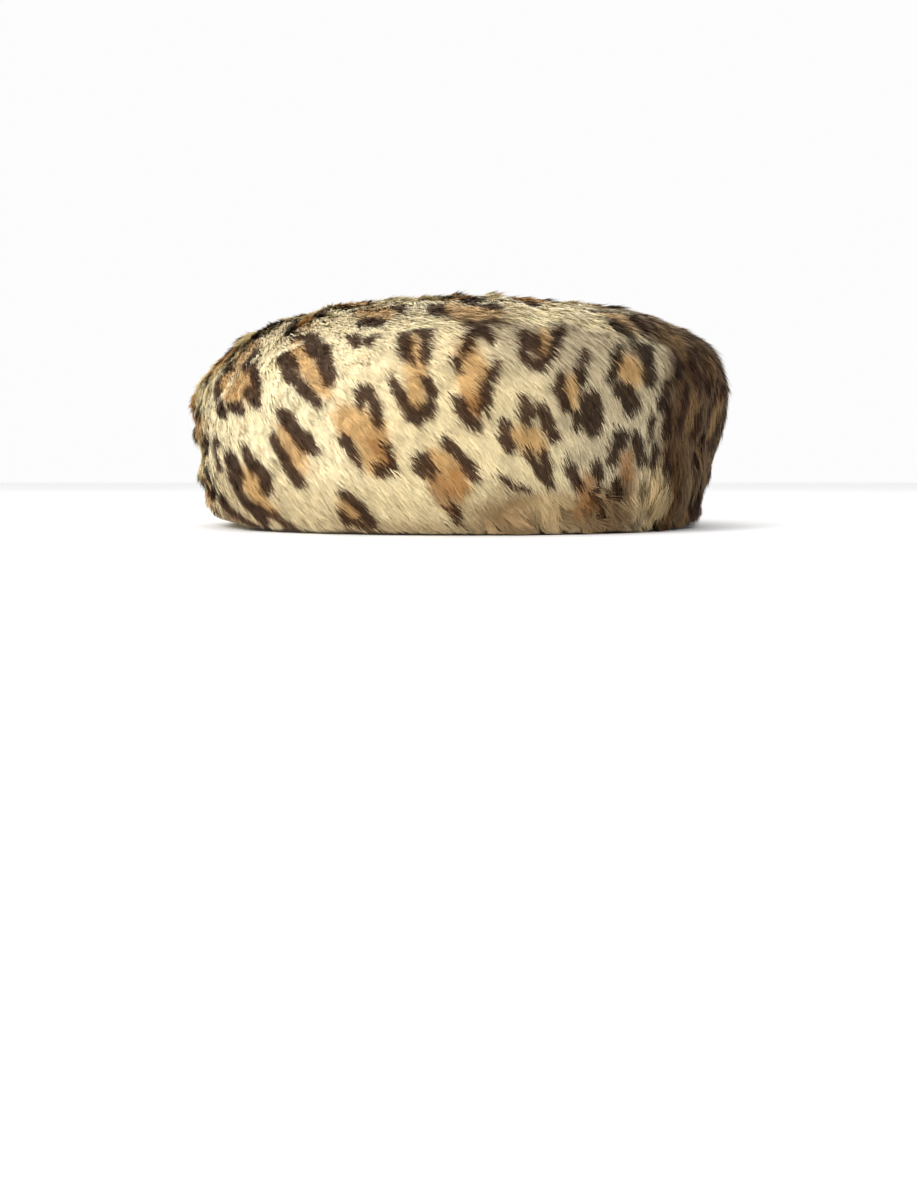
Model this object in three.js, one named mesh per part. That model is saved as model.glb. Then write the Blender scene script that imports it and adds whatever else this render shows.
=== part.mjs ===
// A spotted fur hat: an oval, low-crowned pillbox whose soft side swells out past the head and turns under
// to the head opening. Four fur pieces are sewn edge to edge: the crown's tip, a front and a back side
// panel, and a band turned under. Millimetres, +Z up, standing on the foot round the opening. The front
// faces -Y, and +X is on the right as seen from the front.
import * as THREE from "three";

// The head opening
const OPENING_WIDTH = 158;
const OPENING_LENGTH = 194;

// How far the swelling stands out past the opening
const SIDE_OVERHANG = 24;
const FRONT_OVERHANG = 24;
const BACK_OVERHANG = 26;

const HAT_HEIGHT = 84;

// Hide and fur pile together
const WALL = 7;

// The crown's highest part sits this far right of the middle
const CROWN_LEAN = 6;

// Seams: the gap between two sewn edges, and how deep and how wide the fur dips along them
const SEAM_GAP = 0.4;
const SEAM_DIP = 1.8;
const SEAM_DIP_WIDTH = 7;

// Locks: clumps of fur that lie along the nap
const LOCK_WIDTH = 13;
const LOCK_STRETCH = 1.9;
const LOCK_RISE = 2.4;

// A lock is at its full rise over all but this share of its width
const LOCK_EDGE_SHARE = 0.45;

// The fur lies flat within this height of the foot
const FOOT_CALM = 9;

// Steps round the hat and along each piece's profile. The smooth inner face has one step to several
// outer ones.
const STEPS_AROUND = 120;
const TIP_STEPS = 12;
const SIDE_STEPS = 16;
const UNDER_STEPS = 8;
const OUTER_STEPS_TO_AN_INNER = 4;

// The profile from the foot to the crown's middle. out is a share of the overhang, inward a share of the
// way to the middle, and up a share of the hat's height.
const PROFILE = {
  foot: { out: WALL / SIDE_OVERHANG, inward: 0, up: 0 },
  under: { out: 0.76, inward: 0, up: 0.065 },
  turn: { out: 0.95, inward: 0, up: 0.21 },
  widest: { out: 1, inward: 0, up: 0.42 },
  side: { out: 0.95, inward: 0, up: 0.6 },
  shoulder: { out: 0.9, inward: 0.06, up: 0.77 },
  crown_edge: { out: 0.9, inward: 0.2, up: 0.9 },
  crown: { out: 0.9, inward: 0.44, up: 0.97 },
  crown_top: { out: 0.9, inward: 0.72, up: 0.995 },
  middle: { out: 0.9, inward: 1, up: 1 },
};

// Where the seams run, as places along the profile between its first row at 0 and its last at 1.
// around_deg is counted from the front, positive to the right.
const UNDER_SEAM = [
  { around_deg: -180, along: 0.22 },
  { around_deg: -130, along: 0.25 },
  { around_deg: -86, along: 0.28 },
  { around_deg: -66, along: 0.18 },
  { around_deg: -46, along: 0.1 },
  { around_deg: 0, along: 0.09 },
  { around_deg: 45, along: 0.1 },
  { around_deg: 90, along: 0.14 },
  { around_deg: 135, along: 0.2 },
];
const TIP_SEAM = [
  { around_deg: -180, along: 0.66 },
  { around_deg: -90, along: 0.65 },
  { around_deg: 0, along: 0.66 },
  { around_deg: 90, along: 0.64 },
];
const LEFT_SEAM_DEG = -81;
const RIGHT_SEAM_DEG = 63;

// Soft dents and swellings. along and tall are places along the profile, and deep is a share of the wall,
// inwards.
const DENTS = {
  left_crease: { around_deg: -92, along: 0.3, wide_deg: 22, tall: 0.035, deep: 0.55 },
  left_swell: { around_deg: -84, along: 0.45, wide_deg: 30, tall: 0.09, deep: -0.15 },
  left_tuck: { around_deg: -94, along: 0.19, wide_deg: 24, tall: 0.08, deep: 0.45 },
  left_slope: { around_deg: -48, along: 0.64, wide_deg: 24, tall: 0.12, deep: 0.15 },
  left_hollow: { around_deg: -34, along: 0.5, wide_deg: 14, tall: 0.08, deep: 0.25 },
  front_swell: { around_deg: -6, along: 0.42, wide_deg: 24, tall: 0.12, deep: -0.3 },
  front_tuck: { around_deg: 24, along: 0.17, wide_deg: 16, tall: 0.06, deep: 0.35 },
  right_shoulder: { around_deg: 76, along: 0.52, wide_deg: 26, tall: 0.12, deep: -0.45 },
  right_tuck: { around_deg: 96, along: 0.2, wide_deg: 26, tall: 0.09, deep: 0.75 },
  right_hollow: { around_deg: 58, along: 0.34, wide_deg: 12, tall: 0.08, deep: 0.25 },
  back_hollow: { around_deg: 160, along: 0.5, wide_deg: 28, tall: 0.1, deep: 0.4 },
  back_swell: { around_deg: -150, along: 0.4, wide_deg: 30, tall: 0.12, deep: -0.3 },
  tip_hollow: { around_deg: 150, along: 0.82, wide_deg: 70, tall: 0.1, deep: 0.6 },
};

// The way that the fur lies: how far below level it slopes, as seen from outside, where 0 is to the right
const NAP = [
  { around_deg: -180, slope_deg: 80 },
  { around_deg: -120, slope_deg: 40 },
  { around_deg: -80, slope_deg: 18 },
  { around_deg: -40, slope_deg: 30 },
  { around_deg: 0, slope_deg: 48 },
  { around_deg: 35, slope_deg: 78 },
  { around_deg: 70, slope_deg: 100 },
  { around_deg: 125, slope_deg: 95 },
];

const HALF_TURN = 180;
const FULL_TURN = 2 * HALF_TURN;
const { degToRad, radToDeg, lerp, smoothstep, euclideanModulo, seededRandom } = THREE.MathUtils;

const profileCurve = new THREE.CatmullRomCurve3(
  Object.values(PROFILE).map((row) => new THREE.Vector3(row.out, row.inward, row.up)),
);

// The way from angle b to angle a by the shorter way round, in degrees.
function nearestTurn(a, b) {
  return euclideanModulo(a - b + HALF_TURN, FULL_TURN) - HALF_TURN;
}

// A table's column as a smooth function of the angle round the hat, closed on itself.
function roundTable(rows, column) {
  const first = rows[0];
  const closed = [...rows, { ...first, around_deg: first.around_deg + FULL_TURN }];
  return (around) => {
    const turn = first.around_deg + euclideanModulo(around - first.around_deg, FULL_TURN);
    const after = closed.findIndex((row) => row.around_deg > turn);
    const [low, high] = [closed[after - 1], closed[after]];
    return lerp(low[column], high[column], smoothstep(turn, low.around_deg, high.around_deg));
  };
}

const underSeamAlong = roundTable(UNDER_SEAM, "along");
const tipSeamAlong = roundTable(TIP_SEAM, "along");
const napSlope = roundTable(NAP, "slope_deg");

// The smooth outer form, before dents, seams and locks.
function form(around, along) {
  const { x: out, y: inward, z: up } = profileCurve.getPoint(along);
  const angle = degToRad(around);
  const endOverhang = Math.cos(angle) > 0 ? FRONT_OVERHANG : BACK_OVERHANG;
  const halfWidth = (OPENING_WIDTH / 2 + SIDE_OVERHANG * out) * (1 - inward);
  const halfLength = (OPENING_LENGTH / 2 + endOverhang * out) * (1 - inward);
  const lean = CROWN_LEAN * up * up;
  return new THREE.Vector3(
    halfWidth * Math.sin(angle) + lean,
    -halfLength * Math.cos(angle),
    HAT_HEIGHT * up,
  );
}

// Unit directions on the form: across (round the hat), rising (along the profile) and outwards. At the
// crown's middle they are those of a place just short of it.
const NUDGE = 0.002;
function directions(around, along) {
  const here = Math.min(along, 1 - 2 * NUDGE);
  const rising = form(around, here + NUDGE).sub(form(around, Math.max(0, here - NUDGE))).normalize();
  const across = form(around + 1, here).sub(form(around - 1, here)).normalize();
  const outwards = new THREE.Vector3().crossVectors(across, rising).normalize();
  return { across, rising, outwards };
}

// The length in millimetres between two places along the profile at one angle.
function lengthAlong(around, from, to) {
  return form(around, from).distanceTo(form(around, to));
}

function dentDepth(around, along) {
  return Object.values(DENTS).reduce((sum, dent) => {
    const a = nearestTurn(around, dent.around_deg) / dent.wide_deg;
    const b = (along - dent.along) / dent.tall;
    return sum + WALL * dent.deep * Math.exp(-a * a - b * b);
  }, 0);
}

// How far the fur dips beside the nearest seam.
function seamDip(around, along) {
  const [under, tip] = [underSeamAlong(around), tipSeamAlong(around)];
  const distances = [lengthAlong(around, along, under), lengthAlong(around, along, tip)];
  if (along > under && along < tip)
    for (const seam of [LEFT_SEAM_DEG, RIGHT_SEAM_DEG])
      distances.push(degToRad(Math.abs(nearestTurn(around, seam))) * (OPENING_WIDTH / 2 + SIDE_OVERHANG));
  return SEAM_DIP * Math.exp(-((Math.min(...distances) / SEAM_DIP_WIDTH) ** 2));
}

// The place of the lock in one cell of a grid through space, scattered in its cell by a repeatable seed.
const CELL_SEEDS = new THREE.Vector3(7919, 104729, 1299709);
function lockPlace(cell) {
  seededRandom(cell.dot(CELL_SEEDS));
  const scatter = new THREE.Vector3(seededRandom(), seededRandom(), seededRandom());
  return scatter.add(cell).multiplyScalar(LOCK_WIDTH);
}

// How far the locks stand up at a point. Each lock is drawn out along the nap, and between two locks the
// fur dips to nothing.
function lockRise(point, nap) {
  const home = point.clone().divideScalar(LOCK_WIDTH).floor();
  const reach = Math.ceil(LOCK_STRETCH);
  const distances = [];
  for (let i = -reach; i <= reach; i += 1)
    for (let j = -reach; j <= reach; j += 1)
      for (let k = -reach; k <= reach; k += 1) {
        const away = lockPlace(new THREE.Vector3(i, j, k).add(home)).sub(point);
        const lengthwise = away.dot(nap);
        const sideways = away.addScaledVector(nap, -lengthwise).length();
        distances.push(Math.hypot(lengthwise / LOCK_STRETCH, sideways) / LOCK_WIDTH);
      }
  const [nearest, second] = distances.sort((a, b) => a - b);
  return LOCK_RISE * Math.min(1, (second - nearest) / LOCK_EDGE_SHARE);
}

// The crown's tip is one fur that lies towards the front; the rest lies as NAP says.
function napDirection(around, along) {
  const { across, rising, outwards } = directions(around, along);
  if (along > tipSeamAlong(around)) return new THREE.Vector3(0, -1, 0).projectOnPlane(outwards).normalize();
  const slope = degToRad(napSlope(around));
  return across.multiplyScalar(Math.cos(slope)).addScaledVector(rising, -Math.sin(slope));
}

// From 0 at the foot, which stands flat and upright, to 1 where the fur is free.
function freedom(point) {
  return smoothstep(point.z, 0, FOOT_CALM);
}

// The fur's outer surface.
function outerPoint(around, along) {
  const point = form(around, along);
  const locks = lockRise(point, napDirection(around, along)) - LOCK_RISE / 2;
  const depth = dentDepth(around, along) + seamDip(around, along) - locks;
  return point.addScaledVector(directions(around, along).outwards, -depth * freedom(point));
}

// The hide's inner face, a wall's thickness in. It follows the dents but not the locks.
function innerPoint(around, along) {
  const point = form(around, along);
  const { outwards } = directions(around, along);
  outwards.z *= freedom(point);
  return point.addScaledVector(outwards.normalize(), -WALL - dentDepth(around, along) * freedom(point));
}

// The angles of a piece's columns. All pieces share the same steps round the hat, so that two edges sewn
// together have their corners at the same angles. ends is null for a whole ring.
function columnAngles(ends) {
  const step = FULL_TURN / STEPS_AROUND;
  const shared = Array.from({ length: STEPS_AROUND * 2 }, (_, i) => i * step - HALF_TURN);
  if (ends === null) return shared.slice(0, STEPS_AROUND);
  const between = shared.filter((around) => around > ends.left + step / 2 && around < ends.right - step / 2);
  return [ends.left, ...between, ends.right];
}

// The rows of the inner face, out of the outer face's rows from 0 to steps.
function innerRows(steps) {
  const rows = [];
  for (let row = 0; row < steps; row += OUTER_STEPS_TO_AN_INNER) rows.push(row);
  return [...rows, steps];
}

// One closed wall of fur. ends holds its left and right ends in degrees round the hat, or is null for a
// whole ring. low and high give the places along the profile between which it runs, at each angle. Where
// toMiddle is set, its last row is the one point at the crown's middle.
function furPiece({ ends = null, low, high, steps, toMiddle = false }) {
  const corners = [];
  const faces = [];
  const corner = (point) => corners.push(point) - 1;
  const triangle = (a, b, c) => faces.push(a, b, c);
  const middle = toMiddle ? { outer: corner(outerPoint(0, 1)), inner: corner(innerPoint(0, 1)) } : null;

  const rows = innerRows(steps);
  const columns = columnAngles(ends).map((around) => {
    const place = (row) => lerp(low(around), high(around), row / steps);
    const outer = Array.from({ length: steps }, (_, row) => corner(outerPoint(around, place(row))));
    const inner = rows.slice(0, -1).map((row) => corner(innerPoint(around, place(row))));
    outer.push(middle?.outer ?? corner(outerPoint(around, high(around))));
    inner.push(middle?.inner ?? corner(innerPoint(around, high(around))));
    return { outer, inner };
  });

  // A skin between two neighbouring columns of corners, as seen with the first on the left
  function skin(left, right) {
    for (let row = 0; row + 1 < left.length; row += 1) {
      triangle(left[row], right[row], right[row + 1]);
      if (left[row + 1] !== right[row + 1]) triangle(left[row], right[row + 1], left[row + 1]);
    }
  }
  const sewn = ends === null ? [...columns, columns[0]] : columns;
  for (let i = 0; i + 1 < sewn.length; i += 1) {
    const [left, right] = [sewn[i], sewn[i + 1]];
    skin(left.outer, right.outer);
    skin(right.inner, left.inner);
    skin([left.inner.at(0), left.outer.at(0)], [right.inner.at(0), right.outer.at(0)]);
    if (!toMiddle) skin([left.outer.at(-1), left.inner.at(-1)], [right.outer.at(-1), right.inner.at(-1)]);
  }

  // The upright edge at an end: each inner step fans out over its outer steps
  function uprightEdge({ outer, inner }, face) {
    for (let n = 0; n + 1 < rows.length; n += 1) {
      for (let row = rows[n]; row < rows[n + 1]; row += 1) face(inner[n], outer[row], outer[row + 1]);
      face(inner[n], outer[rows[n + 1]], inner[n + 1]);
    }
  }
  if (ends !== null) {
    uprightEdge(columns.at(0), triangle);
    uprightEdge(columns.at(-1), (a, b, c) => triangle(a, c, b));
  }

  const geometry = new THREE.BufferGeometry().setFromPoints(corners);
  geometry.setIndex(faces);
  geometry.computeVertexNormals();
  return geometry;
}

// The edge of a piece that is sewn along a seam: half a gap above it where side is 1, below it where -1.
function seamEdge(seamAlong, side) {
  return (around) => {
    const along = seamAlong(around);
    const halfGap = (NUDGE * SEAM_GAP) / 2 / lengthAlong(around, along, along + NUDGE);
    return along + side * halfGap;
  };
}

// Half an upright seam's gap, in degrees round the side
const HALF_GAP_AROUND = radToDeg(SEAM_GAP / OPENING_WIDTH);

function panelEnds(left, right) {
  return { left: left + HALF_GAP_AROUND, right: right - HALF_GAP_AROUND };
}

function buildHat() {
  const hat = new THREE.Group();
  function addFur(name, color, shape) {
    const material = new THREE.MeshStandardMaterial({ color, roughness: 0.95, metalness: 0 });
    const mesh = new THREE.Mesh(furPiece(shape), material);
    mesh.name = name;
    hat.add(mesh);
  }

  const side = { low: seamEdge(underSeamAlong, 1), high: seamEdge(tipSeamAlong, -1), steps: SIDE_STEPS };
  addFur("crown_tip", 0xd6ccae, {
    low: seamEdge(tipSeamAlong, 1),
    high: () => 1,
    steps: TIP_STEPS,
    toMiddle: true,
  });
  const backEnds = panelEnds(RIGHT_SEAM_DEG, LEFT_SEAM_DEG + FULL_TURN);
  addFur("side_front", 0xe0d3aa, { ...side, ends: panelEnds(LEFT_SEAM_DEG, RIGHT_SEAM_DEG) });
  addFur("side_back", 0xa98d62, { ...side, ends: backEnds });
  addFur("under_band", 0xb59e74, { low: () => 0, high: seamEdge(underSeamAlong, -1), steps: UNDER_STEPS });

  // The origin is the middle of the foot's plane under the whole hat
  const box = new THREE.Box3().setFromObject(hat);
  const middle = box.getCenter(new THREE.Vector3());
  hat.position.set(-middle.x, -middle.y, -box.min.z);
  return hat;
}

export default buildHat();
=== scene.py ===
import math

import bpy
import numpy as np
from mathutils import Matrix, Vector, kdtree


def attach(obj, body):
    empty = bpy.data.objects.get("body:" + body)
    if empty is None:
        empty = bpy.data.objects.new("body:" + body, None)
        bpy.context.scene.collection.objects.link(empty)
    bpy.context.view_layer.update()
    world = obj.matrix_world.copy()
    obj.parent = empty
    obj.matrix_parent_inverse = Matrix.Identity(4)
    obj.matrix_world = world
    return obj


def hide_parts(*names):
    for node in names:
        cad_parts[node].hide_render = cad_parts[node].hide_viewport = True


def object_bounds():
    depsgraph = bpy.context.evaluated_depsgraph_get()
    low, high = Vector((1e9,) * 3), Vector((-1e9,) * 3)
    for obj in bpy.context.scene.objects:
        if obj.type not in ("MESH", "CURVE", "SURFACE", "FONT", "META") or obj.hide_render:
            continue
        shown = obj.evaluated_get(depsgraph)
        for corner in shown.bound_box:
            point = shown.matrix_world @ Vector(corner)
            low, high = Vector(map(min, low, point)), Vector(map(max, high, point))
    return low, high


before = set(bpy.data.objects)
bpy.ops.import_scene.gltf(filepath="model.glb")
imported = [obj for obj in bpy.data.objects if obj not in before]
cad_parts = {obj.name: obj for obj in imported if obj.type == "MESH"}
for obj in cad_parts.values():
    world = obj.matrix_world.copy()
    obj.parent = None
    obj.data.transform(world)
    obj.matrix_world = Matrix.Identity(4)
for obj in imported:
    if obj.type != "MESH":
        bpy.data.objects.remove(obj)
cad_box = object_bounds()

MM = 0.001
LEAST_LENGTH = 1e-12
SEED = 20

# Camera, just above the floor. Its frame is 917 by 1200 steps, and its lens is as long as FOCAL_STEPS.
FRAME_HEIGHT = 1200
FOCAL_STEPS = 1280
SENSOR_WIDTH = 36
CAMERA_DISTANCE = 521 * MM
CAMERA_HEIGHT = 18 * MM
NEAREST_SEEN = 10 * MM
HAT_ABOVE_FRAME_MIDDLE = 182

# The floor, the lamps and the white room, which is dimmer to the right
FLOOR_HALF = 6.0
LAMPS = [
    {"name": "key", "place": (-0.75, -0.75, 0.75), "wide": 0.7, "power": 10.5},
    {"name": "top", "place": (0.1, 0.35, 1.0), "wide": 0.8, "power": 4},
]
LAMPS_AIM = (0, 0, 40 * MM)
ROOM_BRIGHT = 0.98
ROOM_DIM = 0.62
ROOM_DIMS_FROM = 0.35
ROOM_DIMS_TO = 0.85

# The print's chart has squares of about 0.41 mm on a plane through the hat's middle, and is seen from in
# front and below. x is to the right and y down, and the hat's middle is at CHART_MIDDLE.
CHART_SQUARE = CAMERA_DISTANCE / FOCAL_STEPS
CHART_TILT_DEG = -12.5
CHART_MIDDLE_HEIGHT = 40 * MM
CHART_MIDDLE = (457, 443)

# The chart reaches to where the surface turns this far from the chart's eye, and this far round the hat
CHART_FACING = 0.2
CHART_FACING_BLEND = 0.05
CHART_LEFT_DEG = -55
CHART_RIGHT_DEG = 45
CHART_AROUND_BLEND_DEG = 5

# Colours as they look, red, green and blue to 255
CREAM = (246, 232, 192)
# Painted shade: a darker cream for the low band, which turns under away from the light
LOW_PAINTED_SHADE_CREAM = (222, 204, 160)
CROWN_CREAM = (228, 214, 178)
MIDDLE_CREAM = (226, 208, 162)
GREY_CREAM = (196, 180, 148)
TAUPE = (148, 116, 76)
BROWN = (90, 64, 37)
DARK_TAUPE = (92, 70, 46)
PALE_TUFT = (190, 166, 122)
RUST = (158, 110, 60)
TAN = (204, 160, 98)
DARK = (52, 29, 19)
DARK_EDGE = (96, 58, 36)
BLACK_BROWN = (25, 14, 9)
PALE_HAIR = (176, 132, 92)
SUEDE = (188, 170, 142)
SEAM_SHADE = (120, 98, 72)

# Ground colours of the chart, as round patches, and painted shade on the low band and the lower left, where
# the fur turns under away from the light. Each is full at its middle and fades out at PATCH_REACH times its
# radii.
PATCH_REACH = 1.5
GROUND_AND_SHADE_PATCHES = [
    # Painted shade on the low band, which turns under away from the light
    {"colour": LOW_PAINTED_SHADE_CREAM, "x": 330, "y": 470, "wide": 170, "tall": 34, "strength": 0.8},
    {"colour": MIDDLE_CREAM, "x": 470, "y": 390, "wide": 120, "tall": 90, "strength": 0.8},
    {"colour": GREY_CREAM, "x": 560, "y": 300, "wide": 80, "tall": 34, "strength": 0.9},
    {"colour": GREY_CREAM, "x": 605, "y": 370, "wide": 52, "tall": 80, "strength": 0.75},
    {"colour": TAUPE, "x": 520, "y": 472, "wide": 50, "tall": 24, "strength": 0.85},
    {"colour": PALE_TUFT, "x": 556, "y": 468, "wide": 22, "tall": 22, "strength": 0.8},
    {"colour": TAUPE, "x": 605, "y": 480, "wide": 40, "tall": 30, "strength": 0.9},
    {"colour": DARK_TAUPE, "x": 622, "y": 464, "wide": 13, "tall": 28, "strength": 0.8},
    {"colour": PALE_TUFT, "x": 650, "y": 470, "wide": 16, "tall": 34, "strength": 0.9},
    {"colour": TAUPE, "x": 430, "y": 490, "wide": 120, "tall": 12, "strength": 0.5},
    # Painted shade on the lower left, which turns under below the front's edge
    {"colour": TAUPE, "x": 235, "y": 515, "wide": 40, "tall": 22, "strength": 0.8},
]

# To the right of this part of the chart the ground is brown, and its edge wavers
BROWN_FROM = 642
BROWN_TO = 668
BROWN_WAVER = 5
BROWN_WAVER_SIZE = 14

# The dark marks are blacker to the right of here
BLACK_FROM = 500
BLACK_TO = 620

# Dark marks of the chart: how wide each is, and the points that its middle line runs along
DARK_MARKS = [
    {"wide": 11, "along": [(247, 347), (256, 341)]},
    {"wide": 7, "along": [(257, 349), (260, 362), (257, 372)]},
    {"wide": 10, "along": [(253, 370), (257, 376)]},
    {"wide": 3, "along": [(233, 351), (222, 367), (219, 383)]},
    {"wide": 8, "along": [(220, 384), (223, 397)]},
    {"wide": 8, "along": [(234, 388), (244, 386)]},
    {"wide": 8, "along": [(297, 316), (311, 313)]},
    {"wide": 15, "along": [(315, 319), (326, 322), (329, 335)]},
    {"wide": 8, "along": [(330, 334), (331, 344)]},
    {"wide": 9, "along": [(285, 336), (292, 346), (306, 352)]},
    {"wide": 6, "along": [(289, 326), (298, 337)]},
    {"wide": 9, "along": [(304, 354), (318, 362)]},
    {"wide": 8, "along": [(350, 301), (358, 308)]},
    {"wide": 9, "along": [(366, 300), (371, 304)]},
    {"wide": 6, "along": [(374, 298), (384, 294)]},
    {"wide": 9, "along": [(411, 292), (433, 291)]},
    {"wide": 8, "along": [(406, 299), (404, 311), (412, 319)]},
    {"wide": 9, "along": [(427, 298), (425, 314)]},
    {"wide": 9, "along": [(395, 338), (403, 354), (412, 366)]},
    {"wide": 12, "along": [(412, 367), (422, 370), (430, 361)]},
    {"wide": 9, "along": [(431, 360), (432, 346), (427, 337)]},
    {"wide": 8, "along": [(465, 308), (471, 297), (481, 294), (490, 300)]},
    {"wide": 6, "along": [(456, 317), (461, 326)]},
    {"wide": 9, "along": [(495, 323), (487, 336)]},
    {"wide": 13, "along": [(485, 340), (485, 354), (483, 360)]},
    {"wide": 11, "along": [(460, 355), (466, 368), (477, 380)]},
    {"wide": 8, "along": [(361, 361), (361, 352), (368, 347)]},
    {"wide": 9, "along": [(370, 348), (377, 362), (378, 375)]},
    {"wide": 11, "along": [(345, 395), (353, 407)]},
    {"wide": 3, "along": [(357, 412), (361, 427)]},
    {"wide": 14, "along": [(382, 425), (390, 421)]},
    {"wide": 7, "along": [(388, 398), (391, 413)]},
    {"wide": 12, "along": [(284, 381), (291, 388), (300, 396)]},
    {"wide": 16, "along": [(303, 400), (310, 409)]},
    {"wide": 8, "along": [(275, 405), (283, 422), (290, 433)]},
    {"wide": 12, "along": [(293, 437), (298, 444)]},
    {"wide": 13, "along": [(231, 438), (235, 449)]},
    {"wide": 9, "along": [(231, 453), (239, 470)]},
    {"wide": 9, "along": [(243, 477), (252, 487), (263, 497)]},
    {"wide": 12, "along": [(256, 484), (262, 489)]},
    {"wide": 8, "along": [(246, 424), (250, 436)]},
    {"wide": 11, "along": [(252, 437), (263, 442), (266, 460)]},
    {"wide": 5, "along": [(217, 428), (211, 437), (217, 451)]},
    {"wide": 7, "along": [(205, 402), (205, 412)]},
    {"wide": 6, "along": [(207, 462), (210, 482)]},
    {"wide": 4, "along": [(203, 438), (204, 447)]},
    {"wide": 6, "along": [(219, 483), (223, 493), (233, 498)]},
    {"wide": 6, "along": [(237, 499), (249, 504), (262, 509)]},
    {"wide": 6, "along": [(272, 486), (283, 493), (294, 498)]},
    {"wide": 7, "along": [(212, 511), (220, 518)]},
    {"wide": 13, "along": [(256, 512), (262, 522)]},
    {"wide": 9, "along": [(343, 452), (352, 458), (364, 472), (372, 481)]},
    {"wide": 8, "along": [(341, 474), (347, 484)]},
    {"wide": 5, "along": [(356, 484), (369, 485)]},
    {"wide": 14, "along": [(423, 411), (420, 420), (430, 424)]},
    {"wide": 11, "along": [(446, 394), (455, 404)]},
    {"wide": 11, "along": [(464, 413), (471, 420), (474, 428)]},
    {"wide": 7, "along": [(456, 462), (458, 478)]},
    {"wide": 9, "along": [(506, 378), (503, 390), (512, 404)]},
    {"wide": 9, "along": [(523, 355), (526, 376)]},
    {"wide": 10, "along": [(533, 366), (541, 365), (546, 380), (553, 394)]},
    {"wide": 7, "along": [(530, 410), (540, 429), (550, 440)]},
    {"wide": 9, "along": [(542, 411), (548, 430)]},
    {"wide": 10, "along": [(522, 302), (523, 316)]},
    {"wide": 10, "along": [(533, 305), (534, 310)]},
    {"wide": 8, "along": [(529, 322), (541, 325), (548, 318)]},
    {"wide": 11, "along": [(555, 302), (550, 315)]},
    {"wide": 8, "along": [(558, 336), (558, 350), (563, 365)]},
    {"wide": 8, "along": [(582, 322), (577, 334), (579, 346)]},
    {"wide": 18, "along": [(587, 362), (590, 377), (592, 388)]},
    {"wide": 10, "along": [(575, 374), (578, 388)]},
    {"wide": 8, "along": [(614, 322), (611, 334), (607, 342)]},
    {"wide": 10, "along": [(641, 328), (645, 342), (645, 354)]},
    {"wide": 5, "along": [(631, 325), (641, 322)]},
    {"wide": 15, "along": [(617, 357), (626, 365), (628, 374)]},
    {"wide": 7, "along": [(503, 432), (507, 440)]},
    {"wide": 4, "along": [(514, 440), (528, 445)]},
    {"wide": 9, "along": [(568, 424), (573, 431)]},
    {"wide": 8, "along": [(576, 438), (578, 447)]},
    {"wide": 8, "along": [(595, 427), (599, 440)]},
    {"wide": 10, "along": [(617, 398), (614, 413), (610, 427)]},
    {"wide": 9, "along": [(621, 400), (619, 412)]},
    {"wide": 8, "along": [(634, 404), (637, 418), (641, 432)]},
    {"wide": 6, "along": [(614, 445), (620, 464)]},
    {"wide": 5, "along": [(600, 452), (606, 484)]},
    {"wide": 8, "along": [(663, 362), (657, 380)]},
    {"wide": 4, "along": [(649, 388), (648, 410)]},
    {"wide": 5, "along": [(665, 386), (664, 412)]},
    {"wide": 5, "along": [(653, 420), (652, 438)]},
    {"wide": 5, "along": [(664, 428), (668, 452)]},
    {"wide": 7, "along": [(674, 336), (672, 358)]},
    {"wide": 6, "along": [(683, 370), (680, 384)]},
    {"wide": 5, "along": [(677, 397), (676, 410)]},
    {"wide": 5, "along": [(491, 285), (510, 288)]},
    {"wide": 5, "along": [(569, 292), (578, 294)]},
    {"wide": 5, "along": [(583, 294), (586, 302)]},
    {"wide": 5, "along": [(624, 310), (632, 318)]},
]

# Tan middles of the chart's rosettes, in the same way
TAN_MARKS = [
    {"wide": 22, "along": [(232, 372), (246, 360)]},
    {"wide": 13, "along": [(299, 324), (312, 339), (326, 350)]},
    {"wide": 10, "along": [(414, 306), (415, 312)]},
    {"wide": 14, "along": [(418, 325), (415, 354)]},
    {"wide": 18, "along": [(466, 312), (476, 326)]},
    {"wide": 18, "along": [(470, 335), (474, 358)]},
    {"wide": 26, "along": [(350, 378), (374, 386)]},
    {"wide": 27, "along": [(371, 394), (379, 415)]},
    {"wide": 12, "along": [(286, 400), (292, 420)]},
    {"wide": 12, "along": [(301, 414), (299, 428)]},
    {"wide": 16, "along": [(249, 450), (255, 470)]},
    {"wide": 9, "along": [(263, 478), (271, 484)]},
    {"wide": 8, "along": [(198, 404), (200, 424)]},
    {"wide": 12, "along": [(345, 464), (354, 476)]},
    {"wide": 26, "along": [(440, 415), (454, 434)]},
    {"wide": 16, "along": [(521, 390), (535, 399)]},
    {"wide": 8, "along": [(541, 306), (542, 310)]},
    {"wide": 10, "along": [(570, 344), (568, 360)]},
    {"wide": 16, "along": [(622, 338), (629, 346)]},
    {"wide": 10, "along": [(527, 398), (534, 404)]},
]

# Browner tan, in the same way
RUST_MARKS = [
    {"wide": 18, "along": [(440, 440), (452, 456)]},
    {"wide": 12, "along": [(457, 425), (462, 436)]},
    {"wide": 13, "along": [(588, 442), (590, 474)]},
    {"wide": 10, "along": [(626, 424), (628, 445)]},
    {"wide": 8, "along": [(472, 352), (476, 362)]},
    {"wide": 8, "along": [(376, 396), (384, 410)]},
]

# In squares of the chart: half the width over which a mark fades into the ground, how uneven its edge is
# and how long the waves there are, and how far in from its edge a dark mark is at its darkest
MARK_BLEND = 1.8
TAN_BLEND = 6
MARK_UNEVEN = 1.3
MARK_WAVES = 4.5
DARK_EDGE_WIDTH = 3

# How strongly the charted colours cover what is under them
TAN_STRENGTH = 0.85
RUST_STRENGTH = 0.8
BLACK_STRENGTH = 0.8
DARK_STRENGTH = 0.96

# The marks were charted to the middle of their edges, and the fur makes them look narrower
DARK_GROWTH = 1.9
TAN_GROWTH = 3.5

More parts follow.
